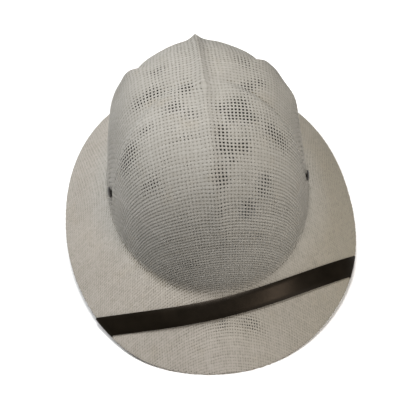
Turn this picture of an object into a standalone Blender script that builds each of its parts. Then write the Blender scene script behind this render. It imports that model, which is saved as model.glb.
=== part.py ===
"""A pith helmet pressed from one sheet of woven straw, with a leather chin strap.

Metres, +Z up. The hat lies on its brim: the front faces -Y, the wearer's right is at -X,
and the origin is on the resting plane under the middle of the brim's length and width.
"""

import math

import bmesh
import bpy
import numpy as np
from mathutils import Vector

# Crown, at its foot where the brim starts.
HEAD_WIDTH = 0.193
HEAD_LENGTH = 0.2347
CROWN_HEIGHT = 0.1412
FOOT_HEIGHT = 0.036
FOOT_SIDE_RISE = 0.0134
FOOT_RADIUS = 0.0025
HEAD_SQUARENESS = 2.18

# How the crown draws in towards its top.
SIDE_TAPER = 0.13
END_TAPER = 0.10
CROWN_LEAN = -0.0025
CROWN_SHIFT_BACK = 0.0064
CROWN_ROUNDNESS = (2.75, 3.2)

# Brim, in plan beyond the crown's foot.
BRIM_SIDE = 0.0448
BRIM_FRONT = 0.0649
BRIM_BACK = 0.0508
BRIM_WIDEST_AHEAD = 0.0164
BRIM_SIDE_LIFT = 0.0136
BRIM_SQUARENESS = 2.11
BRIM_ARCH = 0.25
FLAT_ANGLE = math.radians(15)

# Straw sheet and the hem folded under the brim's edge.
WALL = 0.0016
HEM = 0.0028
HEM_WIDTH = 0.012
EDGE_RISE = 0.0012
EDGE_LIP = 0.0006
EDGE_FLAT = 0.0028

# Pressed relief: heights and half widths.
RIDGE_FRONT_HEIGHT = 0.0032
RIDGE_BACK_HEIGHT = 0.0055
RIDGE_HALF_WIDTH = 0.0050
ARCH_STEP = 0.0045
ARCH_SOFTNESS = 0.035
SHOULDER_SWELL = 0.0022
BACK_SHOULDER = 0.0040
BAND_STEP = 0.0014
# The two arches in plan: place on the centre line, spread, power, as shares of half the head.
FRONT_ARCH = (0.12, -0.45, 1.35)
BACK_ARCH = (0.12, 0.85, 1.30)
# The band's upper line, as shares of the crown's height: at the front, its rise halfway
# round to the side, and its fall towards the rivets.
BAND_LINE = (0.27, 0.16, 0.12)

# Chin strap.
STRAP_WIDTH = 0.018
STRAP_THICKNESS = 0.0014
STRAP_LEFT_EDGE = math.radians(-49.2)
STRAP_RIGHT_EDGE = math.radians(65.0)
STRAP_END = 0.008
STRAP_MEETS_CROWN = 0.20
STRAP_FOOT_SLACK = 0.0027
TOUCH = 0.0004
UNDER_TOUCH = 0.0007

# Rivets that hold the strap's ends.
RIVET_ANGLE = math.radians(81)
RIVET_SHARE = 0.16
RIVET_HEAD = 0.0106
RIVET_DOME = 0.0020
RIVET_SHANK = 0.0034
RIVET_WASHER = 0.0084
RIVET_WASHER_THICKNESS = 0.0012
RIVET_CLEARANCE = 0.0003
WASHER_TOUCH = 0.0009

# Angles of the sheet's radial lines over one quarter, closest beside the centre ridge.
QUARTER = [0.0, 2.6, 5.6] + [10.5 + 79.5 * i / 14 for i in range(15)]
CROWN_RINGS = 13
BRIM_RINGS = 6

TOTAL_LENGTH = BRIM_FRONT + HEAD_LENGTH + BRIM_BACK
HEAD_CENTRE_Y = -TOTAL_LENGTH / 2 + BRIM_FRONT + HEAD_LENGTH / 2
WIDEST_Y = HEAD_CENTRE_Y - BRIM_WIDEST_AHEAD


def spread(value, power):
    """The value raised to a power with its sign kept, which squares off an ellipse."""
    return np.sign(value) * np.abs(value) ** power


def ramp(value):
    """A smooth step from 0 to 1."""
    held = np.clip(value, 0.0, 1.0)
    return held * held * (3.0 - 2.0 * held)


def foot(angle):
    """The crown's foot at this angle from the front, positive towards +X."""
    power = 2.0 / HEAD_SQUARENESS
    x = HEAD_WIDTH / 2 * spread(np.sin(angle), power)
    y = HEAD_CENTRE_Y - HEAD_LENGTH / 2 * spread(np.cos(angle), power)
    z = FOOT_HEIGHT + FOOT_SIDE_RISE * np.sin(angle) ** 2
    return np.stack([x, y, z], -1)


def brim_edge(angle):
    """The brim's outer edge, level at the front and back and raised at the sides."""
    power = 2.0 / BRIM_SQUARENESS
    side = (HEAD_WIDTH / 2 + BRIM_SIDE) * spread(np.sin(angle), power)
    ahead = WIDEST_Y + TOTAL_LENGTH / 2
    behind = TOTAL_LENGTH / 2 - WIDEST_Y
    reach = np.where(np.cos(angle) > 0, ahead, behind)
    y = WIDEST_Y - reach * spread(np.cos(angle), power)
    level = math.sin(FLAT_ANGLE) ** 2
    lift = np.clip((np.sin(angle) ** 2 - level) / (1.0 - level), 0.0, 1.0)
    return np.stack([side, y, EDGE_RISE + BRIM_SIDE_LIFT * lift], -1)


def brim_point(angle, share):
    """The brim's upper face: share 0 at the crown's foot, 1 at the edge."""
    start = foot(angle)
    end = brim_edge(angle)
    point = start + (end - start) * share[..., None]
    sag = (1.0 - BRIM_ARCH) * share + BRIM_ARCH * share**2
    point[..., 2] = start[..., 2] + (end[..., 2] - start[..., 2]) * sag
    return point


def smooth_crown(angle, turn):
    """The crown before its relief: turn 0 at the top, pi/2 at the foot. Also its height share."""
    base = foot(angle)
    out = np.abs(np.sin(turn)) ** (2.0 / CROWN_ROUNDNESS[0])
    up = np.clip(np.cos(turn), 0.0, 1.0) ** (2.0 / CROWN_ROUNDNESS[1])
    taper = END_TAPER + (SIDE_TAPER - END_TAPER) * np.sin(angle) ** 2
    scale = out * (1.0 - taper * up)
    x = base[..., 0] * scale + CROWN_LEAN * up
    y = HEAD_CENTRE_Y + (base[..., 1] - HEAD_CENTRE_Y) * scale + CROWN_SHIFT_BACK * up
    top = FOOT_HEIGHT + CROWN_HEIGHT
    z = base[..., 2] + (top - base[..., 2]) * up
    return np.stack([x, y, z], -1), up


def relief(angle, point, up):
    """How far the pressed pattern stands out from the smooth crown."""
    across = np.abs(point[..., 0] - CROWN_LEAN * up)
    u = across / (HEAD_WIDTH / 2)
    v = (point[..., 1] - HEAD_CENTRE_Y) / (HEAD_LENGTH / 2)
    front = FRONT_ARCH[0] + FRONT_ARCH[1] * u ** FRONT_ARCH[2]
    back = BACK_ARCH[0] + BACK_ARCH[1] * u ** BACK_ARCH[2]
    lobe = ramp((v - front) / ARCH_SOFTNESS) * ramp((back - v) / ARCH_SOFTNESS)
    through = np.clip((v - front) / (back - front + 1e-6), 0.0, 1.0)
    shoulder = ramp((u - 0.40) / 0.30) * ramp(through / 0.55)
    swell = SHOULDER_SWELL + BACK_SHOULDER * ramp((through - 0.55) / 0.30)
    side_lobe = lobe * ((ARCH_STEP + swell) * shoulder - ARCH_STEP) * ramp(up / 0.45)
    height = RIDGE_FRONT_HEIGHT + (RIDGE_BACK_HEIGHT - RIDGE_FRONT_HEIGHT) * ramp((v + 0.1) / 0.6)
    ridge = height * np.exp(-((across / RIDGE_HALF_WIDTH) ** 1.5)) * ramp((up - 0.52) / 0.25)
    turned_away = np.abs(np.arctan2(np.sin(angle), np.cos(angle)))
    line = BAND_LINE[0] + BAND_LINE[1] * np.sin(2.0 * turned_away) ** 2
    line = line - BAND_LINE[2] * ramp((turned_away - 1.13) / 0.3)
    ahead = 1.0 - ramp((turned_away - 1.33) / 0.12)
    band = -BAND_STEP * ahead * ramp((line - up) / 0.03) * ramp(up / 0.12)
    return side_lobe + ridge + band


def crown_point(angle, turn):
    """The crown's outer face with its relief pressed in."""
    point, up = smooth_crown(angle, turn)
    step = 1e-3
    along = smooth_crown(angle + step, turn)[0] - smooth_crown(angle - step, turn)[0]
    down = smooth_crown(angle, turn + step)[0] - smooth_crown(angle, turn - step)[0]
    normal = np.cross(down, along)
    length = np.linalg.norm(normal, axis=-1, keepdims=True)
    normal = np.where(length > 1e-12, normal / np.maximum(length, 1e-12), (0.0, 0.0, 1.0))
    return point + normal * relief(angle, point, up)[..., None]


def sheet(angle, place):
    """The straw sheet's outer face. Place runs 0 to 1 down the crown, to 2 over the foot, to 3 out."""
    angle, place = np.broadcast_arrays(np.asarray(angle, float), np.asarray(place, float))
    start = foot(angle)
    run = np.linalg.norm((brim_edge(angle) - start)[..., :2], axis=-1)
    brim_start = FOOT_RADIUS / run
    up_end = FOOT_RADIUS / (FOOT_HEIGHT + CROWN_HEIGHT - start[..., 2])
    turn_end = np.arccos(up_end ** (CROWN_ROUNDNESS[1] / 2.0))
    crown = crown_point(angle, np.clip(place, 0.004, 1.0) * turn_end)
    bend = np.clip(place - 1.0, 0.0, 1.0)[..., None]
    upper = crown_point(angle, turn_end)
    lower = brim_point(angle, brim_start)
    fillet = upper * (1 - bend) ** 2 + start * 2 * bend * (1 - bend) + lower * bend**2
    share = brim_start + (1.0 - brim_start) * np.clip(place - 2.0, 0.0, 1.0)
    brim = brim_point(angle, share)
    picked = np.where((place <= 1.0)[..., None], crown, fillet)
    return np.where((place >= 2.0)[..., None], brim, picked)


def outward(angle, place):
    """The sheet's outward normal."""
    angle, place = np.broadcast_arrays(np.asarray(angle, float), np.asarray(place, float))
    step = 2e-3
    before = np.clip(place - step, 0.004, 3.0)
    after = np.clip(place + step, 0.004, 3.0)
    down = sheet(angle, after) - sheet(angle, before)
    along = sheet(angle + step, place) - sheet(angle - step, place)
    normal = np.cross(down, along)
    return normal / np.maximum(np.linalg.norm(normal, axis=-1, keepdims=True), 1e-15)


def place_from_edge(angle, distance):
    """The place on one radial line that lies this far from the brim's edge along the sheet."""
    places = np.linspace(3.0, 0.3, 271)
    line = sheet(np.full(places.shape, angle), places)
    travelled = np.concatenate([[0.0], np.cumsum(np.linalg.norm(np.diff(line, axis=0), axis=1))])
    return np.interp(distance, travelled, places)


def material(name, colour, roughness, metallic):
    made = bpy.data.materials.new(name)
    made.use_nodes = True
    shader = made.node_tree.nodes["Principled BSDF"]
    shader.inputs["Base Color"].default_value = (*colour, 1.0)
    shader.inputs["Roughness"].default_value = roughness
    shader.inputs["Metallic"].default_value = metallic
    made.diffuse_color = (*colour, 1.0)
    return made


def add_object(name, points, faces, look):
    mesh = bpy.data.meshes.new(name)
    mesh.from_pydata([tuple(map(float, p)) for p in points], [], faces)
    shaped = bmesh.new()
    shaped.from_mesh(mesh)
    bmesh.ops.recalc_face_normals(shaped, faces=shaped.faces)
    shaped.to_mesh(mesh)
    shaped.free()
    mesh.materials.append(look)
    mesh.shade_smooth()
    mesh.set_sharp_from_angle(angle=math.radians(35))
    made = bpy.data.objects.new(name, mesh)
    bpy.context.scene.collection.objects.link(made)
    return made


def cut(target, cutter, name):
    modifier = target.modifiers.new(name, "BOOLEAN")
    modifier.operation = "DIFFERENCE"
    modifier.solver = "EXACT"
    modifier.object = cutter


def radial_angles():
    quarter = [math.radians(value) for value in QUARTER]
    half = quarter + [math.pi - value for value in quarter[-2::-1]]
    return np.array(half + [-value for value in half[-2:0:-1]])


def build_shell(look):
    """Crown, brim and hem: one closed skin, the outer rings first and then the inner ones."""
    angles = radial_angles()
    crown = [0.055 + 0.945 * i / CROWN_RINGS for i in range(CROWN_RINGS + 1)]
    bends = [1.34, 1.67]
    brim = [2.0 + i / BRIM_RINGS for i in range(BRIM_RINGS + 1)]
    places = crown + bends + brim
    rings = [sheet(angles, place) for place in places]
    edge = brim_edge(angles)
    inward = foot(angles)[:, :2] - edge[:, :2]
    inward /= np.linalg.norm(inward, axis=1, keepdims=True)
    for step in (EDGE_LIP, EDGE_LIP + EDGE_FLAT):
        ring = edge.copy()
        ring[:, :2] += inward * step
        ring[:, 2] -= EDGE_RISE
        rings.append(ring)
    for distance, depth in ((HEM_WIDTH, HEM), (HEM_WIDTH + WALL / 2, WALL)):
        at = np.array([place_from_edge(angle, distance) for angle in angles])
        rings.append(sheet(angles, at) - outward(angles, at) * depth)
    last = np.array([place_from_edge(angle, HEM_WIDTH + WALL / 2) for angle in angles]).min()
    for place in reversed([p for p in places if p < last - 0.05]):
        rings.append(sheet(angles, place) - outward(angles, place) * WALL)
    top_ring = crown_point(np.array([0.0]), np.array([1e-4]))[0]
    points = [p for ring in rings for p in ring]
    count = len(angles)
    faces = []
    for row in range(len(rings) - 1):
        for column in range(count):
            after = (column + 1) % count
            faces.append((row * count + column, row * count + after,
                          (row + 1) * count + after, (row + 1) * count + column))
    outer_top = len(points)
    points.append(top_ring)
    points.append(top_ring - np.array([0.0, 0.0, WALL]))
    last_row = (len(rings) - 1) * count
    for column in range(count):
        after = (column + 1) % count
        faces.append((outer_top, after, column))
        faces.append((outer_top + 1, last_row + column, last_row + after))
    return add_object("shell", points, faces, look)


def rivet_frame(side):
    """The rivet's seat on the crown's outer face and the outward direction there."""
    angle = side * RIVET_ANGLE
    start = foot(np.array(angle))
    up_end = FOOT_RADIUS / (FOOT_HEIGHT + CROWN_HEIGHT - start[2])
    power = CROWN_ROUNDNESS[1] / 2.0
    place = math.acos(RIVET_SHARE**power) / math.acos(up_end**power)
    seat = sheet(angle, place)
    return angle, place, seat, outward(angle, place)


def turned(name, profile, seat, axis, look, sides=24):
    """A round piece about an axis: profile pairs of radius and height, the ends on the axis."""
    turn = Vector(axis).to_track_quat("Z", "Y")
    points = []
    for radius, height in profile[1:-1]:
        for i in range(sides):
            a = 2 * math.pi * i / sides
            points.append(turn @ Vector((radius * math.cos(a), radius * math.sin(a), height)))
    points += [turn @ Vector((0, 0, profile[0][1])), turn @ Vector((0, 0, profile[-1][1]))]
    points = [p + Vector(seat) for p in points]
    faces = []
    rows = len(profile) - 2
    for row in range(rows - 1):
        for i in range(sides):
            j = (i + 1) % sides
            faces.append((row * sides + i, row * sides + j, (row + 1) * sides + j,
                          (row + 1) * sides + i))
    start = rows * sides
    for i in range(sides):
        j = (i + 1) % sides
        faces.append((start, j, i))
        faces.append((start + 1, (rows - 1) * sides + i, (rows - 1) * sides + j))
    return add_object(name, points, faces, look)


def build_rivet(name, side, look):
    """A domed head outside the crown, a shank through sheet and strap, a flat washer inside."""
    angle, place, seat, axis = rivet_frame(side)
    under = TOUCH + RIVET_CLEARANCE
    inside = -(WALL + UNDER_TOUCH + STRAP_THICKNESS + WASHER_TOUCH)
    head = RIVET_HEAD / 2
    shank = RIVET_SHANK / 2
    washer = RIVET_WASHER / 2
    profile = [(0, under + RIVET_DOME)]
    for i in (1, 2, 3):
        a = math.radians(30 * i)
        profile.append((head * math.sin(a), under + RIVET_DOME * (0.25 + 0.75 * math.cos(a))))
    profile += [(head, under), (shank, under), (shank, inside), (washer, inside),
                (washer, inside - RIVET_WASHER_THICKNESS), (0, inside - RIVET_WASHER_THICKNESS)]
    return turned(name, profile, seat, axis, look)


def hole_cutter(name, side, look):
    angle, place, seat, axis = rivet_frame(side)
    radius = RIVET_SHANK / 2 + RIVET_CLEARANCE
    reach = RIVET_HEAD
    cutter = turned(name, [(0, reach), (radius, reach), (radius, -reach), (0, -reach)],
                    seat, axis, look)
    cutter.hide_render = True
    cutter.display_type = "WIRE"
    return cutter


def on_brim(x, y):
    """The radial angle and brim share of points given in plan, found by halving."""
    middle = np.arctan2(x, -(y - WIDEST_Y))
    low = middle - 0.6
    high = middle + 0.6

    def side_of(angle):
        start = foot(angle)[..., :2]
        line = brim_edge(angle)[..., :2] - start
        return line[..., 0] * (y - start[..., 1]) - line[..., 1] * (x - start[..., 0])

    sign = np.sign(side_of(low))
    for _ in range(40):
        middle = (low + high) / 2
        same = np.sign(side_of(middle)) == sign
        low = np.where(same, middle, low)
        high = np.where(same, high, middle)
    start = foot(middle)[..., :2]
    line = brim_edge(middle)[..., :2] - start
    share = ((x - start[..., 0]) * line[..., 0] + (y - start[..., 1]) * line[..., 1])
    return middle, share / (line**2).sum(-1)


def brim_normal(angle, share):
    step = 1e-3
    out = brim_point(angle, share + step) - brim_point(angle, share - step)
    along = brim_point(angle + step, share) - brim_point(angle - step, share)
    normal = np.cross(out, along)
    return normal / np.linalg.norm(normal, axis=-1, keepdims=True)


def strap_line(offset):
    """Plan line of one lengthwise fibre of the strap over the front brim, cut at the brim's edges."""
    left = brim_edge(np.array(STRAP_LEFT_EDGE))[:2]
    right = brim_edge(np.array(STRAP_RIGHT_EDGE))[:2]
    meets = foot(np.array(math.asin(STRAP_MEETS_CROWN ** (HEAD_SQUARENESS / 2))))[:2]
    middle = meets - np.array([0.0, FOOT_RADIUS + TOUCH + STRAP_WIDTH / 2])
    share_at_middle = (middle[0] - left[0]) / (right[0] - left[0])

    def centre(run):
        a = (run - share_at_middle) * (run - 1.0) / share_at_middle
        b = run * (run - 1.0) / (share_at_middle * (share_at_middle - 1.0))
        c = run * (run - share_at_middle) / (1.0 - share_at_middle)
        return a[..., None] * left + b[..., None] * middle + c[..., None] * right

    def fibre(run):
        def lifted(value):
            plan = centre(value)
            angle, share = on_brim(plan[..., 0], plan[..., 1])
            return brim_point(angle, share), angle, share
        here, angle, share = lifted(run)
        ahead = lifted(run + 1e-3)[0] - lifted(run - 1e-3)[0]
        ahead /= np.linalg.norm(ahead, axis=-1, keepdims=True)
        across = np.cross(brim_normal(angle, share), ahead)
        return (here + across * offset)[..., :2]

    def crossing(inner, outer):
        for _ in range(40):
            value = (inner + outer) / 2
            plan = fibre(np.array([value]))
            if on_brim(plan[:, 0], plan[:, 1])[1][0] < 1.0:
                inner = value
            else:
                outer = value
        return (inner + outer) / 2

    return fibre, crossing(0.3, -0.15), crossing(0.7, 1.15)


def strap_fibre(offset, top_rows, turn_rows, under_rows):
    """The whole path of one fibre: rivet, under the brim, round the edge, over the front, and back."""
    lift = TOUCH + STRAP_THICKNESS / 2
    fibre, first, last = strap_line(offset)
    runs = first + (last - first) * np.linspace(0.0, 1.0, top_rows + 2)
    ends = []
    for run, side in ((runs[0], -1), (runs[-1], 1)):
        plan = fibre(np.array([run]))
        angle = on_brim(plan[:, 0], plan[:, 1])[0][0]
        ends.append((side, angle))
    plan = fibre(runs[1:-1])
    angle, share = on_brim(plan[:, 0], plan[:, 1])
    over = brim_point(angle, share) + brim_normal(angle, share) * lift
    halves = []
    for side, angle in ends:
        edge = brim_edge(np.array(angle))
        out = edge[:2] - foot(np.array(angle))[:2]
        out /= np.linalg.norm(out)
        normal = brim_normal(np.array(angle), np.array(1.0))
        tilt = math.atan2(float(normal[:2] @ out), float(normal[2]))
        path = []
        radius = lift + math.hypot(EDGE_LIP, EDGE_RISE / 2)
        for i in range(turn_rows):
            a = math.pi / 2 - tilt - (math.pi - tilt) * i / (turn_rows - 1)
            x = edge[:2] + out * (radius * math.cos(a) - EDGE_LIP)
            path.append([x[0], x[1], edge[2] - EDGE_RISE / 2 + radius * math.sin(a)])
        rivet_angle, rivet_place = rivet_frame(side)[:2]
        radius = HEAD_WIDTH / 2 + BRIM_SIDE / 2
        line = sheet(np.full(200, rivet_angle), np.linspace(3.0, rivet_place, 200))
        finish = np.linalg.norm(np.diff(line, axis=0), axis=1).sum() + STRAP_END
        start = np.array([radius * (angle - rivet_angle), EDGE_LIP + EDGE_FLAT])
        end = np.array([side * offset * radius / (HEAD_LENGTH / 2), finish])
        pull = 0.6 * (end[1] - start[1])
        lean = math.copysign(0.45, end[0] - start[0])
        begin_way = np.array([lean * pull, 0.9 * pull])
        end_way = np.array([0.0, pull])
        for i in range(under_rows):
            t = i / (under_rows - 1)
            h = (2 * t**3 - 3 * t**2 + 1, t**3 - 2 * t**2 + t, -2 * t**3 + 3 * t**2, t**3 - t**2)
            spot = start * h[0] + begin_way * h[1] + end * h[2] + end_way * h[3]
            a = rivet_angle + spot[0] / radius
            place = float(place_from_edge(a, spot[1]))
            past = float(ramp((spot[1] - HEM_WIDTH - 0.001) / 0.006))
            corner = EDGE_LIP * 1.5 * (1.0 - float(ramp((spot[1] - start[1]) / 0.006)))
            depth = HEM + (WALL - HEM) * past + corner + UNDER_TOUCH + STRAP_THICKNESS / 2
            depth += STRAP_FOOT_SLACK * math.exp(-(((place - 1.55) / 0.35) ** 2))
            point = sheet(a, place) - outward(a, place) * depth
            path.append(list(point))
        halves.append(path)
    left, right = halves
    return np.array(left[::-1] + [list(p) for p in over] + right)


def build_strap(look):
    """A flat band whose ends pass under the brim and up to the rivets inside the crown."""
    across = [STRAP_WIDTH * (i / 4 - 0.5) for i in range(5)]
    grid = np.stack([strap_fibre(value, 26, 6, 22) for value in across], 1)
    ahead = np.gradient(grid, axis=0)
    beside = np.gradient(grid, axis=1)
    normal = np.cross(ahead, beside)
    normal /= np.linalg.norm(normal, axis=-1, keepdims=True)
    rows, columns = grid.shape[:2]
    upper = grid + normal * STRAP_THICKNESS / 2
    lower = grid - normal * STRAP_THICKNESS / 2
    points = list(upper.reshape(-1, 3)) + list(lower.reshape(-1, 3))
    half = rows * columns
    faces = []
    for r in range(rows - 1):
        for c in range(columns - 1):
            a = r * columns + c
            faces.append((a, a + 1, a + columns + 1, a + columns))
            faces.append((half + a, half + a + columns, half + a + columns + 1, half + a + 1))
        for c in (0, columns - 1):
            a = r * columns + c
            faces.append((a, a + columns, half + a + columns, half + a))
    for r in (0, rows - 1):
        for c in range(columns - 1):
            a = r * columns + c
            faces.append((a, a + 1, half + a + 1, half + a))
    return add_object("strap", points, faces, look)


def main():
    for old in list(bpy.data.objects):
        bpy.data.objects.remove(old, do_unlink=True)
    straw = material("straw", (0.56, 0.53, 0.47), 0.85, 0.0)
    leather = material("strap_leather", (0.022, 0.015, 0.010), 0.42, 0.0)
    metal = material("rivet_metal", (0.035, 0.032, 0.030), 0.38, 0.9)
    shell = build_shell(straw)
    strap = build_strap(leather)
    build_rivet("strap_rivet_left", -1, metal)
    build_rivet("strap_rivet_right", 1, metal)
    for name, side in (("hole_left", -1), ("hole_right", 1)):
        cutter = hole_cutter(name, side, metal)
        cut(shell, cutter, name)
        cut(strap, cutter, name)


main()
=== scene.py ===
"""The looks of a pith helmet of woven straw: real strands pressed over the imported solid's shape,
a dark leather chin strap and its two rivets, on a pale floor in soft light."""

import math

import bpy
import numpy as np
from mathutils import Matrix, Vector


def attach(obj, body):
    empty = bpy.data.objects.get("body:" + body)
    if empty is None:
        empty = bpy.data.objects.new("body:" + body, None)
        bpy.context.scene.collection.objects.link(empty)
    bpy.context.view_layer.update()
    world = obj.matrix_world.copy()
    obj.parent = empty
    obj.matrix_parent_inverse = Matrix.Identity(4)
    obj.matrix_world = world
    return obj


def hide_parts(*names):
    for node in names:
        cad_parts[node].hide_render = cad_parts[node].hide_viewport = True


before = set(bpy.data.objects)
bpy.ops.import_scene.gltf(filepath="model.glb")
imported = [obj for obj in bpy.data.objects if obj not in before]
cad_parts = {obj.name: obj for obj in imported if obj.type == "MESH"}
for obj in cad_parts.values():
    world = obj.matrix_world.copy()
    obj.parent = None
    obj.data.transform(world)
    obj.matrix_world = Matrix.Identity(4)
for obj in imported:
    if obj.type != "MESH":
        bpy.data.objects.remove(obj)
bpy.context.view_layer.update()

# The pressed sheet, in metres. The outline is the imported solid's. The ridge, arches and band are
# softer than the solid's, and the back flat, the uneven places and the edge's sway are only here.
HEAD_WIDTH = 0.193
HEAD_LENGTH = 0.2347
CROWN_HEIGHT = 0.1412
FOOT_HEIGHT = 0.036
FOOT_SIDE_RISE = 0.0134
FOOT_RADIUS = 0.0025
HEAD_SQUARENESS = 2.18
SIDE_TAPER = 0.13
END_TAPER = 0.10
CROWN_LEAN = -0.0025
CROWN_SHIFT_BACK = 0.0064
CROWN_ROUNDNESS = (2.75, 3.2)
BRIM_SIDE = 0.0448
BRIM_FRONT = 0.0649
BRIM_BACK = 0.0508
BRIM_WIDEST_AHEAD = 0.0164
BRIM_SIDE_LIFT = 0.0136
BRIM_SQUARENESS = 2.11
BRIM_ARCH = 0.25
FLAT_ANGLE = math.radians(15)
EDGE_RISE = 0.0012
RIDGE_FRONT_HEIGHT = 0.0032
RIDGE_BACK_HEIGHT = 0.0055
RIDGE_HALF_WIDTH = (0.0072, 0.0054)
ARCH_STEP = 0.0036
ARCH_SOFTNESS = (0.090, 0.110)
SHOULDER_SWELL = 0.0022
BACK_SHOULDER = 0.0040
BAND_STEP = 0.0007
BAND_BEAD = 0.0002
FRONT_ARCH = (0.12, -0.45, 1.35)
BACK_ARCH = (0.12, 0.85, 1.30)
BAND_LINE = (0.27, 0.16, 0.12)
BACK_FLAT = 0.0015
# Where the real hat isn't even. Crown: side, place back, share up, half sizes, how far out.
HAND_FORMED = (
    (1, 0.52, 0.72, 0.09, 0.12, -0.0028), (1, 0.27, 0.57, 0.13, 0.14, 0.0034),
    (-1, 0.42, 0.48, 0.12, 0.12, 0.0018), (-1, 0.55, 0.64, 0.08, 0.10, -0.0018),
)
# Brim edge: angle, half angle, how far out.
EDGE_SWAY = ((-0.62, 0.30, 0.0030), (1.15, 0.35, 0.0020))
TOTAL_LENGTH = BRIM_FRONT + HEAD_LENGTH + BRIM_BACK
HEAD_CENTRE_Y = -TOTAL_LENGTH / 2 + BRIM_FRONT + HEAD_LENGTH / 2
WIDEST_Y = HEAD_CENTRE_Y - BRIM_WIDEST_AHEAD

# The weave. A count is a number of strands from the crown's centre, as rising powers of the
# distance along the sheet in decimetres. Strands are sampled a few times between crossings.
CROSS_COUNT = (33.17, -4.49, 0.223, 0.364)
LENGTH_COUNT = (33.29, -2.49, 0.568, -0.039)
CROSS_SHEAR = (0.0, 0.0, 0.006, -0.081)
LENGTH_SHEAR = (0.0, 0.0, 0.652, -0.085)
SHEET_MIDDLE = 0.0008
STRAND_THICKNESS = 0.00046
STRAND_WAVE = 0.0001
CROSSWISE_PROUD = 0.00012
# How far under the strands the dark sheet of painted gap shade lies.
GAP_SHEET_DEPTH = 0.00012
FOLD_RADIUS = 0.0006
FOOT_EASE = 0.0030
HEM_WIDTH = 0.012
SAMPLES = 4
STRANDS_ACROSS = 78
STRANDS_ALONG = 104
STRANDS_PER_METRE = 330.0
FULL_WIDTH_SHARE = 0.95
OPEN_NARROWS_BY = 0.46
OPEN_FROM = 0.49
OPEN_CHANCE = 0.40
TUBE_CORNERS = 4

# The photograph's camera: picture size, focal length and optical centre in pixels, then its place.
PICTURE_SIZE = 416
FOCAL_LENGTH = 994
OPTICAL_CENTRE = (209.2, 192.5)
VIEW_TURN = math.radians(-6.0)
VIEW_RISE = math.radians(55.15)
VIEW_DISTANCE = 0.95
VIEW_TARGET = (0, -0.0094, 0.05)
SENSOR_WIDTH = 36.0


def add_to_scene(name, data):
    made = bpy.data.objects.new(name, data)
    bpy.context.scene.collection.objects.link(made)
    return made


def spread(value, power):
    """The value raised to a power with its sign kept, which squares off an ellipse."""
    return np.sign(value) * np.abs(value) ** power


def ramp(value):
    """A smooth step from 0 to 1."""
    held = np.clip(value, 0.0, 1.0)
    return held * held * (3.0 - 2.0 * held)


def foot(angle):
    power = 2.0 / HEAD_SQUARENESS
    x = HEAD_WIDTH / 2 * spread(np.sin(angle), power)
    y = HEAD_CENTRE_Y - HEAD_LENGTH / 2 * spread(np.cos(angle), power)
    return np.stack([x, y, FOOT_HEIGHT + FOOT_SIDE_RISE * np.sin(angle) ** 2], -1)


def brim_edge(angle):
    power = 2.0 / BRIM_SQUARENESS
    side = (HEAD_WIDTH / 2 + BRIM_SIDE) * spread(np.sin(angle), power)
    reach = np.where(np.cos(angle) > 0, WIDEST_Y + TOTAL_LENGTH / 2, TOTAL_LENGTH / 2 - WIDEST_Y)
    level = math.sin(FLAT_ANGLE) ** 2
    lift = np.clip((np.sin(angle) ** 2 - level) / (1.0 - level), 0.0, 1.0)
    y = WIDEST_Y - reach * spread(np.cos(angle), power)
    point = np.stack([side, y, EDGE_RISE + BRIM_SIDE_LIFT * lift], -1)
    for where, half, out in EDGE_SWAY:
        away = np.angle(np.exp(1j * (angle - where)))
        sway = out * np.exp(-((away / half) ** 2))
        point[..., 0] += sway * np.sin(angle)
        point[..., 1] -= sway * np.cos(angle)
    return point


def brim_point(angle, share):
    start = foot(angle)
    end = brim_edge(angle)
    point = start + (end - start) * share[..., None]
    sag = (1.0 - BRIM_ARCH) * share + BRIM_ARCH * share**2
    point[..., 2] = start[..., 2] + (end[..., 2] - start[..., 2]) * sag
    return point


def smooth_crown(angle, turn):
    base = foot(angle)
    out = np.abs(np.sin(turn)) ** (2.0 / CROWN_ROUNDNESS[0])
    up = np.clip(np.cos(turn), 0.0, 1.0) ** (2.0 / CROWN_ROUNDNESS[1])
    taper = END_TAPER + (SIDE_TAPER - END_TAPER) * np.sin(angle) ** 2
    scale = out * (1.0 - taper * up)
    x = base[..., 0] * scale + CROWN_LEAN * up
    y = HEAD_CENTRE_Y + (base[..., 1] - HEAD_CENTRE_Y) * scale + CROWN_SHIFT_BACK * up
    z = base[..., 2] + (FOOT_HEIGHT + CROWN_HEIGHT - base[..., 2]) * up
    return np.stack([x, y, z], -1), up


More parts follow.
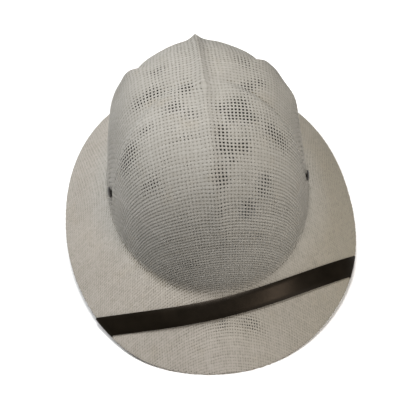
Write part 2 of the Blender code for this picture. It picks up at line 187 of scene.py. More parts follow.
def relief(angle, point, up):
    """How far the pressed ridge, arches, shoulders and band stand out from the smooth crown."""
    across = np.abs(point[..., 0] - CROWN_LEAN * up)
    u = across / (HEAD_WIDTH / 2)
    v = (point[..., 1] - HEAD_CENTRE_Y) / (HEAD_LENGTH / 2)
    front = FRONT_ARCH[0] + FRONT_ARCH[1] * u ** FRONT_ARCH[2]
    back = BACK_ARCH[0] + BACK_ARCH[1] * u ** BACK_ARCH[2]
    lobe = ramp((v - front) / ARCH_SOFTNESS[0]) * ramp((back - v) / ARCH_SOFTNESS[1])
    through = np.clip((v - front) / (back - front + 1e-6), 0.0, 1.0)
    shoulder = ramp((u - 0.40) / 0.30) * ramp(through / 0.55)
    swell = SHOULDER_SWELL + BACK_SHOULDER * ramp((through - 0.55) / 0.30)
    sunk = ramp((v - front) / ARCH_SOFTNESS[0]) * (1.0 - ramp(through / 0.95)) * (1.0 - shoulder)
    side_lobe = (lobe * swell * shoulder - ARCH_STEP * sunk * ramp(u / 0.30)) * ramp(up / 0.45)
    to_back = ramp((v + 0.1) / 0.6)
    height = RIDGE_FRONT_HEIGHT + (RIDGE_BACK_HEIGHT - RIDGE_FRONT_HEIGHT) * to_back
    wide = RIDGE_HALF_WIDTH[0] + (RIDGE_HALF_WIDTH[1] - RIDGE_HALF_WIDTH[0]) * to_back
    ridge = height * np.exp(-((across / wide) ** (1.9 - 0.4 * to_back))) * ramp((up - 0.42) / 0.28)
    turned_away = np.abs(np.arctan2(np.sin(angle), np.cos(angle)))
    line = BAND_LINE[0] + BAND_LINE[1] * np.sin(2.0 * turned_away) ** 2
    line = line - BAND_LINE[2] * ramp((turned_away - 1.13) / 0.3)
    ahead = 1.0 - ramp((turned_away - 1.33) / 0.12)
    on_left = 0.25 + 0.75 * ramp((0.02 - point[..., 0]) / 0.04)
    band = -BAND_STEP * ahead * on_left * ramp((line - up) / 0.16) * ramp(up / 0.12)
    bead = BAND_BEAD * ahead * on_left * np.exp(-(((up - line) / 0.018) ** 2))
    flat = -BACK_FLAT * np.exp(-(((u - 0.37) / 0.17) ** 2))
    flat = flat * ramp((v - 0.45) / 0.2) * ramp((up - 0.5) / 0.2)
    uneven = 0.0
    for side, mid_v, mid_up, half_v, half_up, out in HAND_FORMED:
        there = ramp(0.5 + side * point[..., 0] / 0.03)
        reach = ((v - mid_v) / half_v) ** 2 + ((up - mid_up) / half_up) ** 2
        uneven = uneven + out * there * np.exp(-reach)
    return side_lobe + ridge + band + bead + flat + uneven


def crown_point(angle, turn, depth=1.0):
    point, up = smooth_crown(angle, turn)
    step = 1e-3
    along = smooth_crown(angle + step, turn)[0] - smooth_crown(angle - step, turn)[0]
    down = smooth_crown(angle, turn + step)[0] - smooth_crown(angle, turn - step)[0]
    normal = np.cross(down, along)
    length = np.linalg.norm(normal, axis=-1, keepdims=True)
    normal = np.where(length > 1e-12, normal / np.maximum(length, 1e-12), (0.0, 0.0, 1.0))
    return point + normal * relief(angle, point, up)[..., None] * depth


def sheet(angle, place, depth=1.0):
    """The straw sheet's outer face. Place runs 0 to 1 down the crown, to 2 round the foot and to 3
    out over the brim."""
    start = foot(angle)
    run = np.linalg.norm((brim_edge(angle) - start)[..., :2], axis=-1)
    brim_start = FOOT_RADIUS / run
    up_end = FOOT_RADIUS / (FOOT_HEIGHT + CROWN_HEIGHT - start[..., 2])
    turn_end = np.arccos(up_end ** (CROWN_ROUNDNESS[1] / 2.0))
    crown = crown_point(angle, np.clip(place, 0.004, 1.0) * turn_end, depth)
    bend = np.clip(place - 1.0, 0.0, 1.0)[..., None]
    upper = crown_point(angle, turn_end, depth)
    lower = brim_point(angle, brim_start)
    fillet = upper * (1 - bend) ** 2 + start * 2 * bend * (1 - bend) + lower * bend**2
    brim = brim_point(angle, brim_start + (1.0 - brim_start) * np.clip(place - 2.0, 0.0, 1.0))
    picked = np.where((place <= 1.0)[..., None], crown, fillet)
    return np.where((place >= 2.0)[..., None], brim, picked)


def normals_of(points):
    """Outward normals of a grid of points: first axis round the hat, second down it."""
    normal = np.cross(np.gradient(points, axis=1), np.gradient(points, axis=0))
    return normal / np.maximum(np.linalg.norm(normal, axis=-1, keepdims=True), 1e-15)


class PressedSheet:
    """The middle of the straw sheet, by angle from the front as seen in plan and by distance from
    the crown's centre along the sheet, over the brim's edge and back under it to the hem's end."""

    def __init__(self):
        self.angles = np.linspace(-math.pi, math.pi, 721)
        crown = np.linspace(0.004, 1.0, 320)
        foot_bend = np.linspace(1.0, 2.0, 12)[1:]
        brim = np.linspace(2.0, 3.0, 130)[1:]
        places = np.concatenate([crown, foot_bend, brim])
        even = np.linspace(-math.pi, math.pi, 7201)
        base = foot(even)
        seen = np.unwrap(np.arctan2(base[:, 0], HEAD_CENTRE_Y - base[:, 1]))
        grid = np.meshgrid(np.interp(self.angles, seen, even), places, indexing="ij")
        outer = sheet(*grid)
        outer[:, 0] = outer[:, 0].mean(0)
        steps = np.linalg.norm(np.diff(sheet(*grid, depth=0.0), axis=1), axis=2)
        gone = np.concatenate([np.zeros((len(outer), 1)), np.cumsum(steps, axis=1)], 1)
        self.edge = gone[:, -1]
        self.foot = gone[:, len(crown) + 5]
        self.step = 0.0005
        self.count = int((self.edge.max() + HEM_WIDTH + 0.006) / self.step)
        self.run = np.arange(self.count) * self.step
        outer_normal = normals_of(outer)
        outer_normal[:, 0] = (0.0, 0.0, 1.0)
        points = self.by_distance(outer, gone)
        normal = self.by_distance(outer_normal, gone)
        normal /= np.linalg.norm(normal, axis=-1, keepdims=True)
        points, normal = self.round_foot(points), self.round_foot(normal)
        normal /= np.linalg.norm(normal, axis=-1, keepdims=True)
        middle = points - normal * SHEET_MIDDLE
        for i in range(len(self.angles)):
            self.fold_hem(i, points, normal, middle)
        self.points = middle
        self.normal = normal

    def by_distance(self, table, gone):
        """The table's rows, read at even distances from the crown's centre to the brim's edge."""
        even = np.empty((len(self.angles), self.count, 3))
        for i, row in enumerate(table):
            inside = np.minimum(self.run, self.edge[i])
            for axis in range(3):
                even[i, :, axis] = np.interp(inside, gone[i], row[:, axis])
        return even

    def round_foot(self, table):
        """Eases the sharp fold at the crown's foot, as a cloth would take it."""
        reach = int(3.0 * FOOT_EASE / self.step)
        offset = np.arange(-reach, reach + 1) * self.step
        kernel = np.exp(-0.5 * (offset / FOOT_EASE) ** 2)
        kernel /= kernel.sum()
        padded = np.pad(table, ((0, 0), (reach, reach), (0, 0)), mode="edge")
        eased = sum(w * padded[:, i:i + table.shape[1]] for i, w in enumerate(kernel))
        from_foot = np.abs(self.run[None, :] - self.foot[:, None])
        near = np.exp(-((from_foot / (4.0 * FOOT_EASE)) ** 4))
        return table + (eased - table) * near[..., None]

    def fold_hem(self, i, points, normal, middle):
        """Carries one radial line round the brim's edge and back under it."""
        last = int(self.edge[i] / self.step)
        rim = points[i, last]
        up = normal[i, last].copy()
        way = points[i, last] - points[i, last - 4]
        way -= up * (way @ up)
        way /= np.linalg.norm(way)
        source = middle[i].copy()
        above = normal[i].copy()
        for j in range(last, self.count):
            past = self.run[j] - self.edge[i]
            turn = past / FOLD_RADIUS
            if turn < math.pi:
                out = way * math.sin(turn) * FOLD_RADIUS
                down = up * (SHEET_MIDDLE + FOLD_RADIUS * (1 - math.cos(turn)))
                middle[i, j] = rim + out - down
                normal[i, j] = up * math.cos(turn) + way * math.sin(turn)
            else:
                back = self.edge[i] - (past - math.pi * FOLD_RADIUS)
                k = min(max(int(round(back / self.step)), 0), last)
                middle[i, j] = source[k] - above[k] * 2 * FOLD_RADIUS
                normal[i, j] = -above[k]
            middle[i, j, 2] = max(middle[i, j, 2], SHEET_MIDDLE)

    def look_up(self, table, angle, gone):
        """The table's value at any angle and distance, straight between its entries."""
        a = (angle + math.pi) / (2 * math.pi) * (len(self.angles) - 1)
        s = np.clip(gone / self.step, 0, self.count - 1.001)
        i = np.clip(np.floor(a).astype(int), 0, len(self.angles) - 2)
        j = np.floor(s).astype(int)
        p = (a - i)[..., None]
        q = (s - j)[..., None]
        near = table[i, j] * (1 - q) + table[i, j + 1] * q
        far = table[i + 1, j] * (1 - q) + table[i + 1, j + 1] * q
        return near * (1 - p) + far * p


def grown(terms, s):
    """A sum of rising powers of s from the first on, and its slope."""
    total = sum(term * s ** (i + 1) for i, term in enumerate(terms))
    slope = sum(term * (i + 1) * s**i for i, term in enumerate(terms))
    return total, slope


def counts_at(angle, gone):
    """Strand counts across and along at a place on the sheet, with how they change."""
    s = gone * 10.0
    a, a_s = grown(CROSS_COUNT, s)
    b, b_s = grown(CROSS_SHEAR, s)
    c, c_s = grown(LENGTH_COUNT, s)
    d, d_s = grown(LENGTH_SHEAR, s)
    sin1, cos1, sin3, cos3 = np.sin(angle), np.cos(angle), np.sin(3 * angle), np.cos(3 * angle)
    across = a * sin1 + b * sin3
    along = -(c * cos1 + d * cos3)
    slopes = (a * cos1 + 3 * b * cos3, (a_s * sin1 + b_s * sin3) * 10,
              c * sin1 + 3 * d * sin3, -(c_s * cos1 + d_s * cos3) * 10)
    return across, along, slopes


def place_of(across, along):
    """Where on the sheet a pair of strand counts lies: angle and distance, by Newton's steps."""
    angle = np.arctan2(across, -along)
    gone = np.hypot(across, along) / STRANDS_PER_METRE + 1e-5
    for _ in range(14):
        now_across, now_along, (ua, us, va, vs) = counts_at(angle, gone)
        off_u = across - now_across
        off_v = along - now_along
        ux = us * np.sin(angle) + ua * np.cos(angle) / gone
        uy = -us * np.cos(angle) + ua * np.sin(angle) / gone
        vx = vs * np.sin(angle) + va * np.cos(angle) / gone
        vy = -vs * np.cos(angle) + va * np.sin(angle) / gone
        area = ux * vy - uy * vx
        area = np.where(np.abs(area) < 1e-9, 1e-9, area)
        dx = (off_u * vy - off_v * uy) / area
        dy = (off_v * ux - off_u * vx) / area
        held = np.minimum(1.0, 0.03 / np.maximum(np.hypot(dx, dy), 1e-9))
        x = gone * np.sin(angle) + dx * held
        y = -gone * np.cos(angle) + dy * held
        angle = np.arctan2(x, -y)
        gone = np.hypot(x, y) + 1e-7
    return angle, gone


def ripple(across, along, scale, seed, waves=18):
    """Smooth seeded noise over the strand counts, about -1 to 1."""
    random = np.random.default_rng(seed)
    total = np.zeros(np.broadcast(across, along).shape)
    for _ in range(waves):
        heading = random.uniform(0, 2 * math.pi)
        rate = 2 * math.pi / (scale * random.uniform(0.6, 1.6))
        shift = random.uniform(0, 2 * math.pi)
        total += np.sin(rate * (across * math.cos(heading) + along * math.sin(heading)) + shift)
    return total / math.sqrt(waves) / 1.1


# Patches where the weave has opened: strand counts of the middle, half sizes and strength.
OPEN_PATCHES = (
    (8.8, -6.1, 2.5, 2.3, 1), (10.6, -9.7, 2.3, 1.5, 1), (6.3, -9.9, 1.2, 1.5, 1),
    (3.9, -6.9, 1.5, 2, 0.6), (3.2, -14.4, 1.5, 2.3, 1), (4.3, -18.9, 2.3, 1.7, 1),
    (8.4, -18.5, 1.9, 1.4, 0.72), (5.2, -22.2, 1.2, 1.4, 0.6), (2.2, -27.4, 1.7, 2.1, 0.96),
    (20.6, -13.9, 3, 2.6, 1), (17.5, -12, 1.8, 1.6, 0.72), (14.7, -26.3, 2, 2.5, 0.72),
    (13.2, -30, 1.7, 1.7, 0.6), (9.9, -34.9, 1.7, 1.9, 0.9), (7.8, -37.8, 1.9, 1.3, 0.6),
    (13.8, -44.3, 1.5, 1.5, 0.6), (-4.1, 0.4, 2, 1.8, 0.9), (12.4, 1.1, 2.2, 2.2, 0.80),
    (16, 3.6, 2.2, 1.9, 0.66), (-11.5, 9.4, 3, 2, 0.66), (-14.2, 1.9, 3.4, 2, 0.7),
    (-18.4, 0.8, 2.6, 2.2, 0.66), (-8.1, -5.2, 2.3, 1.6, 0.66), (-4.2, -7.7, 2, 1.6, 0.54),
    (-16.9, -9.1, 2.4, 1.2, 0.6), (-22.6, -11.9, 2.1, 1.7, 0.78), (-26.2, -13.7, 3.5, 2.1, 0.78),
    (-20.2, -24.6, 2.2, 1.3, 0.54), (-16.9, -24.3, 1.4, 1.3, 0.54), (-7.1, -14.8, 4.6, 1.2, 0.36),
    (-16.8, -42.5, 2.2, 1.6, 0.54), (-10.8, -53.3, 3.3, 2, 0.48), (1.1, -36.1, 1.2, 2.4, 0.54),
    (1.1, -48.3, 1.6, 3.2, 0.36), (5.1, -48.5, 1.2, 3.5, 0.36), (11.6, 11.5, 3.2, 3.2, 0.5),
    (11.4, -78.2, 2.2, 2.6, 0.72), (-1.1, -78.8, 1.6, 1.3, 0.54), (-16, -77.4, 2.2, 1.2, 0.42),
    (-8, -52, 30, 16, 0.20), (-6, -20, 26, 14, 0.08), (14, -28.5, 3.5, 4.5, 0.22),
    (9, -36, 3, 4, 0.22), (5, -79, 13, 4, 0.45),
)


def openness(across, along):
    """How far the weave is open, 0 shut to 1 wide open."""
    open_share = 0.28 + 0.10 * ripple(across, along, 22.0, 3) + 0.08 * ripple(across, along, 7.0, 4)
    for mid_u, mid_v, half_u, half_v, strength in OPEN_PATCHES:
        reach = ((across - mid_u) / half_u) ** 2 + ((along - mid_v) / half_v) ** 2
        open_share = open_share + strength * np.exp(-(reach**0.8))
    return np.clip(open_share, 0.0, 1.0)


def strand_mesh(name, centre, normal, along, width, kept, broken, strand_tone, shade):
    """Strands as closed flattened tubes. Arrays run strand by strand, then sample by sample. Only
    kept samples are used, and neighbours aren't joined where the count of breaks has risen."""
    row, column = np.nonzero(kept)
    centre, normal, along = centre[row, column], normal[row, column], along[row, column]
    breaks = broken[row, column]
    joined = (row[1:] == row[:-1]) & (breaks[1:] == breaks[:-1])
    after = np.append(joined, False)
    before = np.insert(joined, 0, False)
    used = before | after
    number = np.cumsum(used) - 1
    first = number[after] * TUBE_CORNERS
    second = first + TUBE_CORNERS
    quads = []
    for k in range(TUBE_CORNERS):
        n = (k + 1) % TUBE_CORNERS
        quads.append(np.stack([first + k, second + k, second + n, first + n], 1))
    starts = number[used & ~before] * TUBE_CORNERS
    ends = number[used & ~after] * TUBE_CORNERS
    quads.append(np.stack([starts, starts + 1, starts + 2, starts + 3], 1))
    quads.append(np.stack([ends + 3, ends + 2, ends + 1, ends], 1))
    faces = np.concatenate(quads)
    side = np.cross(normal, along)
    side *= (width[row, column] / np.maximum(np.linalg.norm(side, axis=-1), 1e-12))[:, None]
    rise = normal * STRAND_THICKNESS / 2
    ring = np.stack([centre - side, centre + rise, centre + side, centre - rise], 1)[used]
    points = ring.reshape(-1, 3)
    mesh = bpy.data.meshes.new(name)
    mesh.vertices.add(len(points))
    mesh.vertices.foreach_set("co", points.astype(np.float32).ravel())
    mesh.loops.add(len(faces) * 4)
    mesh.loops.foreach_set("vertex_index", faces.astype(np.int32).ravel())
    mesh.polygons.add(len(faces))
    mesh.polygons.foreach_set("loop_start", np.arange(0, len(faces) * 4, 4, dtype=np.int32))
    mesh.update(calc_edges=True)
    mesh.polygons.foreach_set("use_smooth", np.ones(len(faces), bool))
    corner = np.empty(len(mesh.edges) * 2, np.int32)
    mesh.edges.foreach_get("vertices", corner)
    corner = corner.reshape(-1, 2) % TUBE_CORNERS
    lengthways = corner[:, 0] == corner[:, 1]
    mesh.edges.foreach_set("use_edge_sharp", lengthways & (corner[:, 0] % 2 == 0))
    run = np.cumsum(np.insert(np.linalg.norm(np.diff(centre, axis=0), axis=-1), 0, 0.0))
    # The two shade values are painted shade, stored on each tube's corners for the straw's colour.
    edge, middle = (values[row, column][used] for values in shade)
    stored = {
        "straw_run": np.repeat(run[used], TUBE_CORNERS),
        "straw_tone": np.repeat(strand_tone[row][used], TUBE_CORNERS),
        "straw_across": np.tile([-1.0, 0.0, 1.0, 0.0], int(used.sum())),
        "straw_painted_shade": np.stack([edge, middle, edge, edge], 1).ravel(),
    }
    for word, values in stored.items():
        made = mesh.attributes.new(word, "FLOAT", "POINT")
        made.data.foreach_set("value", values.astype(np.float32))
    return add_to_scene(name, mesh)


def fill_gaps(centre, normal, on_sheet, opened, fibre_grain_and_gap_shade):
    """A dark sheet that closes the gaps between strands, its colour painted shade, left out where
    the weave has opened.
    """
    low = (centre - normal * GAP_SHEET_DEPTH)[::SAMPLES, ::SAMPLES]
    there = on_sheet[::SAMPLES, ::SAMPLES]
    there = there[:-1, :-1] & there[1:, :-1] & there[:-1, 1:] & there[1:, 1:]
    chance = np.random.default_rng(8).uniform(0, 1, there.shape)
    between = slice(SAMPLES // 2, None, SAMPLES)
    gap_open = opened[between, between] + OPEN_CHANCE * (chance - 0.5) > OPEN_FROM
    number = np.arange(low.shape[0] * low.shape[1]).reshape(low.shape[:2])
    quads = np.stack([number[:-1, :-1], number[1:, :-1], number[1:, 1:], number[:-1, 1:]], -1)
    quads = quads[there & ~gap_open]
    kept, faces = np.unique(quads, return_inverse=True)
    mesh = bpy.data.meshes.new("gap_shade_sheet")
    mesh.from_pydata(low.reshape(-1, 3)[kept].tolist(), [], faces.reshape(-1, 4).tolist())
    mesh.polygons.foreach_set("use_smooth", np.ones(len(mesh.polygons), bool))
    mesh.materials.append(fibre_grain_and_gap_shade)
    piece = add_to_scene("gap_shade_sheet", mesh)
    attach(piece, "root")
    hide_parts("shell")


def weave(straw, fibre_grain_and_gap_shade):
    """Lengthwise and crosswise strands over the crown and the brim, each over one and under one."""
    pressed = PressedSheet()
    across, along = (np.arange(-count * SAMPLES, count * SAMPLES + 1) / SAMPLES
                     for count in (STRANDS_ACROSS, STRANDS_ALONG))
    count_u, count_v = np.meshgrid(across, along, indexing="ij")
    moved_u = count_u + 0.10 * ripple(count_u, count_v, 9.0, 11)
    moved_v = count_v + 0.10 * ripple(count_u, count_v, 9.0, 12)
    angle, gone = place_of(moved_u, moved_v)
    check_u, check_v, _ = counts_at(angle, gone)
    found = np.hypot(check_u - moved_u, check_v - moved_v) < 0.01
    edge = np.interp(angle, pressed.angles, pressed.edge)
    past_foot = gone - np.interp(angle, pressed.angles, pressed.foot)
    on_sheet = found & (gone < edge + math.pi * FOLD_RADIUS + HEM_WIDTH)
    centre = pressed.look_up(pressed.points, angle, gone)
    normal = pressed.look_up(pressed.normal, angle, gone)
    normal /= np.maximum(np.linalg.norm(normal, axis=-1, keepdims=True), 1e-12)
    to_u = np.gradient(centre, axis=0) * SAMPLES
    to_v = np.gradient(centre, axis=1) * SAMPLES
    cell = np.linalg.norm(np.cross(to_u, to_v), axis=-1)
    gap_u = cell / np.maximum(np.linalg.norm(to_v, axis=-1), 1e-9)
    gap_v = cell / np.maximum(np.linalg.norm(to_u, axis=-1), 1e-9)
    opened = openness(count_u, count_v)
    crowded = ramp((0.0030 - np.minimum(gap_u, gap_v)) / 0.0010)
    share = FULL_WIDTH_SHARE - OPEN_NARROWS_BY * opened * (1.0 - 0.2 * crowded)
    odd = np.cos(math.pi * count_u) * np.cos(math.pi * count_v)
    random = np.random.default_rng(5)
    speck = random.uniform(0, 1, count_u.shape)
    steep = ramp((0.85 - normal[..., 2]) / 0.6)
    on_crown = ramp(-past_foot / 0.004)
    behind = ramp((centre[..., 1] - 0.03) / 0.05)
    # Painted shade in the weave's grooves, stronger on steep walls and towards the back, in random
    # specks on the brim.
    groove_shade = on_crown * (0.33 + 0.16 * steep + 0.26 * behind) * (0.6 + 0.8 * speck)
    groove_shade = groove_shade + (1.0 - on_crown) * (0.12 + 0.62 * speck**2)
    # Painted shade low on the front of the crown, just above the foot, strongest on the wearer's
    # right.
    low = ramp((past_foot + 0.024) / 0.020) * on_crown * ramp((0.055 - centre[..., 1]) / 0.05)
    low = low * (0.25 + 0.75 * ramp((0.03 - centre[..., 0]) / 0.07))
    between_u = np.sin(math.pi * count_u) ** 2
    between_v = np.sin(math.pi * count_v) ** 2
    shut = 0.35 * (past_foot > 0) + 0.16 * steep * ramp(centre[..., 1] / 0.03 + 0.5)
    fill_gaps(centre, normal, on_sheet, opened - shut, fibre_grain_and_gap_shade)
    for family in ("lengthwise", "crosswise"):
        turned = family == "crosswise"

        def laid(values):
            return (np.swapaxes(values, 0, 1) if turned else values)[::SAMPLES]

        proud = CROSSWISE_PROUD * (0.2 + 0.8 * steep)
        rise = proud - odd * STRAND_WAVE if turned else odd * STRAND_WAVE - proud
        strand_centre = laid(centre + normal * rise[..., None])
        # Painted shade on each strand: its edges darker in the gaps between crossing strands, its
        # middle darker where it dips under them.
        dots = 0.80 - (0.30 if turned else 0.0) * steep
        between = between_u if turned else between_v
        edge_shade = groove_shade * (1.0 - dots + dots * between) + 0.10 * low
        edge_shade = laid(np.clip(edge_shade, 0.0, 1.0))
        sunk = groove_shade * (0.25 * between_u if turned else (0.25 + 0.65 * steep) * between_v)
        middle_shade = laid(np.clip(sunk + 0.10 * low, 0.0, 1.0))
        width = laid(np.clip((gap_v if turned else gap_u) * share * 0.5, 0.0002, 0.0026))
        tone = random.uniform(0, 1, len(width))
        width = width * (1.0 + 0.10 * (random.uniform(0, 1, len(width))[:, None] - 0.5))
        straight = (strand_centre[:, :-2] + strand_centre[:, 2:]) / 2.0
        bent = np.zeros(width.shape, bool)
        bent[:, 1:-1] = np.linalg.norm(strand_centre[:, 1:-1] - straight, axis=-1) > 0.00007
        there = laid(on_sheet)
        outside = laid(past_foot) > 0
        crossing = np.zeros(width.shape, bool)
        crossing[:, 1:] = outside[:, 1:] != outside[:, :-1]
        crossing[:, :-1] |= crossing[:, 1:]
        kept = bent | crossing | (np.arange(width.shape[1]) % 2 == 0)
        for part, inside in (("crown", ~outside), ("brim", outside | crossing)):
            own = there & inside
            piece = strand_mesh(f"{part}_{family}_straw", strand_centre, laid(normal),
                                laid(to_u if turned else to_v), width,
                                own & kept, np.cumsum(~own, axis=1), tone,
                                (edge_shade, middle_shade))
            piece.data.materials.append(straw)
            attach(piece, "root")
            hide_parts("shell")


class Wire:
    """A socket of a material's node tree. Sums on wires and numbers add Math nodes."""

    def __init__(self, tree, socket):
        self.tree = tree
        self.socket = socket

    def maths(self, operation, *values, clamp=False):
        node = self.tree.add("ShaderNodeMath", {"operation": operation, "use_clamp": clamp},
                             dict(enumerate(values)))
        return Wire(self.tree, node.outputs[0])

    def __add__(self, other):
        return self.maths("ADD", self, other)

    def __sub__(self, other):
        return self.maths("SUBTRACT", self, other)

    def __mul__(self, other):
        return self.maths("MULTIPLY", self, other)

    __radd__ = __add__
    __rmul__ = __mul__

    def held(self):
        return self.maths("ADD", self, 0.0, clamp=True)


class Finish:
    """One material and its nodes."""

    def __init__(self, name):
        self.made = bpy.data.materials.new(name)
        self.made.use_nodes = True
        self.nodes = self.made.node_tree.nodes
        self.links = self.made.node_tree.links
        self.shader = self.nodes["Principled BSDF"]

    def add(self, kind, settings=None, sockets=None):
        """A node of this type, its settings set first, then its sockets' values or links."""
        node = self.nodes.new(kind)
        for word, value in (settings or {}).items():
            setattr(node, word, value)
        for word, value in (sockets or {}).items():
            self.join(node, word, value)
        return node

    def join(self, node, word, value):
        if isinstance(value, Wire):
            self.links.new(value.socket, node.inputs[word])
        else:
            node.inputs[word].default_value = value

    def out(self, node, word=0):
        return Wire(self, node.outputs[word])

    def place(self):
        return self.out(self.add("ShaderNodeTexCoord"), "Object")

    def stored(self, word):
        return self.out(self.add("ShaderNodeAttribute", {"attribute_name": word}), "Fac")

    def grain(self, vector, scale, detail=3.0, roughness=0.5):
        """Noise at this many features per metre, 0 to 1."""
        sockets = {"Vector": vector, "Scale": scale, "Detail": detail, "Roughness": roughness}
        return self.out(self.add("ShaderNodeTexNoise", {"noise_dimensions": "3D"}, sockets))

    def point_part(self, vector, axis):
        return self.out(self.add("ShaderNodeSeparateXYZ", None, {"Vector": vector}), axis)

    def point(self, x, y, z):
        return self.out(self.add("ShaderNodeCombineXYZ", None, {"X": x, "Y": y, "Z": z}))

    def blend(self, share, first, second):
        """Two colours mixed by a share. The sockets' numbers are those of the colour kind."""
        settings = {"data_type": "RGBA", "blend_type": "MIX", "clamp_factor": True}
        sockets = {0: share, 6: colour(first), 7: colour(second)}
        return self.out(self.add("ShaderNodeMix", settings, sockets), 2)

    def bump(self, height, strength, distance, under=None):
        sockets = {"Height": height, "Strength": strength, "Distance": distance}
        if under is not None:
            sockets["Normal"] = under
        return self.out(self.add("ShaderNodeBump", None, sockets))

    def set(self, **sockets):
        for word, value in sockets.items():
            self.join(self.shader, word.replace("_", " "), value)
        return self.made


def colour(value):
    return value if isinstance(value, Wire) else (*value, 1.0)


def straw_finish():
    """Bleached straw: fine fibre grain along each strand, random tan casts, a tan tint with painted
    shade on the wearer's left, and painted shade in each groove of the weave."""
    straw = Finish("bleached_straw")
    run = straw.stored("straw_run")
    tone = straw.stored("straw_tone")
    side = straw.stored("straw_across")
    shade = straw.stored("straw_painted_shade")
    here = straw.place()
    fibre_grain_and_gap_shade = straw.grain(straw.point(run * 60.0, side * 2.2, tone * 90.0), 6.0, 4.0, 0.6)
    patch = straw.grain(here, 26.0, 3.0, 0.55)
    cast = straw.grain(here, 55.0, 2.0, 0.5)
    fleck = straw.grain(here, 480.0, 2.0, 0.6)
    lightness = (patch * 1.6 - 0.3).held()
    # Towards the wearer's left the straw turns tan and darker: partly its own tint, partly painted
    # shade.
    right_tan_and_shade = (straw.point_part(here, "X") * 7.0 + patch * 0.8 - 0.35).held()
    crown = straw.blend(lightness, (0.284, 0.275, 0.251), (0.328, 0.317, 0.292))
    crown = straw.blend(right_tan_and_shade * 0.7, crown, (0.280, 0.261, 0.216))
    brim = straw.blend(lightness, (0.298, 0.275, 0.243), (0.338, 0.313, 0.278))
    brim = straw.blend(right_tan_and_shade * 0.9, brim, (0.240, 0.217, 0.166))
    on_crown = ((straw.point_part(here, "Z") - 0.034) * 70.0).held()
    body = straw.blend(on_crown, brim, crown)
    body = straw.blend((cast * 3.0 - 1.75).held() * 0.5, body, (0.262, 0.228, 0.172))
    body = straw.blend((tone * 0.5 + fibre_grain_and_gap_shade * 0.9 + fleck * 0.6 - 0.75).held() * 0.55, body,
                       (0.19, 0.178, 0.150))
    # Painted shade from the values stored on the strands.
    body = straw.blend((shade * (0.6 + 0.8 * fleck)).held(), body, (0.085, 0.079, 0.062))
    height = straw.bump(fibre_grain_and_gap_shade, 0.45, 0.0003)
    return straw.set(Base_Color=body, Roughness=(0.72 + 0.2 * fibre_grain_and_gap_shade).held(), Normal=height)


def gap_shade_finish():
    """The sheet down in the gaps: the straw's colour made browner and far darker, painted shade for
    the shadowed gaps.
    """
    fibre_grain_and_gap_shade = Finish("painted_gap_shade")
    here = fibre_grain_and_gap_shade.place()
    strand = fibre_grain_and_gap_shade.grain(here, 900.0, 3.0, 0.6)
    patch = fibre_grain_and_gap_shade.grain(here, 30.0, 2.0, 0.5)
    body = fibre_grain_and_gap_shade.blend((patch * 1.8 - 0.4).held(), (0.090, 0.078, 0.052), (0.140, 0.126, 0.092))
    body = fibre_grain_and_gap_shade.blend((strand * 2.0 - 0.6).held() * 0.6, body, (0.050, 0.042, 0.026))
    height = fibre_grain_and_gap_shade.bump(strand, 0.4, 0.0003)
    return fibre_grain_and_gap_shade.set(Base_Color=body, Roughness=(0.8 + 0.15 * strand).held(), Normal=height)


def leather_finish():
    """Smooth dark leather with a fine grain and soft handling wear."""
    leather = Finish("strap_leather_finish")
    here = leather.place()
    pores = leather.grain(here, 1600.0, 3.0, 0.6)
    wear = leather.grain(here, 60.0, 4.0, 0.6)
    body = leather.blend((wear * 2.2 - 0.8).held(), (0.0050, 0.0040, 0.0027),
                         (0.0100, 0.0076, 0.0052))
    height = leather.bump(pores, 0.25, 0.00012)
    height = leather.bump(wear, 0.15, 0.0008, height)
    return leather.set(Base_Color=body, Roughness=(0.22 + 0.14 * wear + 0.05 * pores).held(),
                       Normal=height, Specular_IOR_Level=0.09,
                       Specular_Tint=(1.0, 0.84, 0.70, 1.0))


def rivet_finish():
    """Dark lacquered metal, rubbed a little."""
    metal = Finish("rivet_lacquer")
    here = metal.place()
    rub = metal.grain(here, 420.0, 4.0, 0.6)
    body = metal.blend((rub * 2.5 - 1.2).held(), (0.020, 0.018, 0.016), (0.075, 0.066, 0.055))
    height = metal.bump(rub, 0.2, 0.0002)
    return metal.set(Base_Color=body, Roughness=(0.30 + 0.25 * rub).held(), Metallic=0.7,
                     Normal=height)


def floor_finish():
    paper = Finish("pale_floor")
    soft = paper.grain(paper.place(), 3.0, 2.0, 0.5)
    body = paper.blend(soft, (0.88, 0.88, 0.88), (0.90, 0.90, 0.90))
    return paper.set(Base_Color=body, Roughness=0.9)


def lay_floor():
    mesh = bpy.data.meshes.new("studio_floor")
    size = 4.0
    mesh.from_pydata([(-size, -size, 0), (size, -size, 0), (size, size, 0), (-size, size, 0)], [],
                     [(0, 1, 2, 3)])
    mesh.materials.append(floor_finish())
    made = add_to_scene("studio_floor", mesh)


def soft_light(name, place, size, power, aim=(0, 0, 0.06), tint=(1.0, 1.0, 1.0)):
    lamp = bpy.data.lights.new(name, "AREA")
    lamp.shape = "DISK"
    lamp.size = size
    lamp.energy = power
    lamp.color = tint
    made = add_to_scene(name, lamp)
    made.location = place
    made.rotation_euler = (Vector(aim) - Vector(place)).to_track_quat("-Z", "Y").to_euler()


def light_studio():
    bpy.context.scene.view_settings.view_transform = "Standard"
    world = bpy.data.worlds.new("studio_air")
    world.use_nodes = True
    air = world.node_tree.nodes["Background"].inputs
    air["Color"].default_value = (1.0, 1.0, 1.0, 1.0)
    air["Strength"].default_value = 0.02
    bpy.context.scene.world = world
    soft_light("overhead", (-0.08, 0.12, 1.74), 0.5, 23.5)
    soft_light("left_and_back", (-1.15, 0.66, 1.10), 0.8, 24.0)
    soft_light("front_right", (0.63, -0.65, 1.31), 0.25, 7.0, (0.06, -0.12, 0.03),
               (1.0, 0.88, 0.76))
    soft_light("front_low", (0.72, -0.92, 0.64), 0.8, 5.0)
    soft_light("right", (1.17, 0.67, 1.20), 0.8, 4.0)


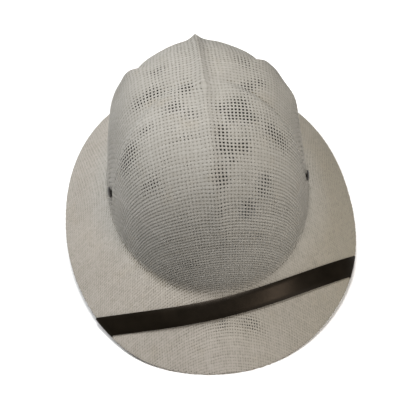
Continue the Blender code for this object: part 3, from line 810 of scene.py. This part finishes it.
def set_camera():
    """The photograph's view: a short telephoto, well above the hat and a little to the wearer's
    right."""
    level = math.cos(VIEW_RISE)
    back = Vector((math.sin(VIEW_TURN) * level, -math.cos(VIEW_TURN) * level, math.sin(VIEW_RISE)))
    right = Vector((math.cos(VIEW_TURN), math.sin(VIEW_TURN), 0.0))
    up = back.cross(right)
    lens = bpy.data.cameras.new("view")
    lens.sensor_width = SENSOR_WIDTH
    lens.lens = SENSOR_WIDTH * FOCAL_LENGTH / PICTURE_SIZE
    lens.shift_x = (PICTURE_SIZE / 2 - OPTICAL_CENTRE[0]) / PICTURE_SIZE
    lens.shift_y = (OPTICAL_CENTRE[1] - PICTURE_SIZE / 2) / PICTURE_SIZE
    lens.clip_start = 0.05
    lens.clip_end = 50.0
    place = Vector(VIEW_TARGET) + back * VIEW_DISTANCE
    made = add_to_scene("view", lens)
    made.matrix_world = Matrix.Translation(place) @ Matrix((right, up, back)).transposed().to_4x4()
    bpy.context.scene.camera = made


def smooth_shading():
    """Geometry nodes that shade faces smoothly, with edges over 35 degrees kept sharp."""
    group = bpy.data.node_groups.new("smooth_shading", "GeometryNodeTree")
    for way in ("INPUT", "OUTPUT"):
        group.interface.new_socket("Geometry", in_out=way, socket_type="NodeSocketGeometry")
    add = group.nodes.new
    start, end = add("NodeGroupInput"), add("NodeGroupOutput")
    angle, sharp = add("GeometryNodeInputMeshEdgeAngle"), add("FunctionNodeCompare")
    plain = add("GeometryNodeRemoveAttribute")
    plain.inputs["Name"].default_value = "custom_normal"
    faces, edges = add("GeometryNodeSetShadeSmooth"), add("GeometryNodeSetShadeSmooth")
    sharp.operation = "LESS_THAN"
    sharp.inputs["B"].default_value = math.radians(35)
    edges.domain = "EDGE"
    link = group.links.new
    link(angle.outputs["Unsigned Angle"], sharp.inputs["A"])
    link(sharp.outputs["Result"], edges.inputs["Shade Smooth"])
    link(start.outputs[0], plain.inputs["Geometry"])
    link(plain.outputs[0], faces.inputs["Geometry"])
    link(faces.outputs[0], edges.inputs["Geometry"])
    link(edges.outputs[0], end.inputs[0])
    return group


def finish_solid(node, look, round_edge, shading):
    """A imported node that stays: its edges rounded, its faces smoothed, with a better finish."""
    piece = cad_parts[node]
    piece.data.materials.clear()
    piece.data.materials.append(look)
    welded = piece.modifiers.new("welded", "WELD")
    welded.merge_threshold = 1e-6
    edge = piece.modifiers.new("rounded_edges", "BEVEL")
    edge.width = round_edge
    edge.segments = 2
    edge.limit_method = "ANGLE"
    edge.angle_limit = math.radians(50)
    smooth = piece.modifiers.new("smooth_shading", "NODES")
    smooth.node_group = shading


set_camera()
lay_floor()
light_studio()
weave(straw_finish(), gap_shade_finish())
shading = smooth_shading()
rivet_look = rivet_finish()
finish_solid("strap", leather_finish(), 0.0003, shading)
finish_solid("strap_rivet_left", rivet_look, 0.0002, shading)
finish_solid("strap_rivet_right", rivet_look, 0.0002, shading)
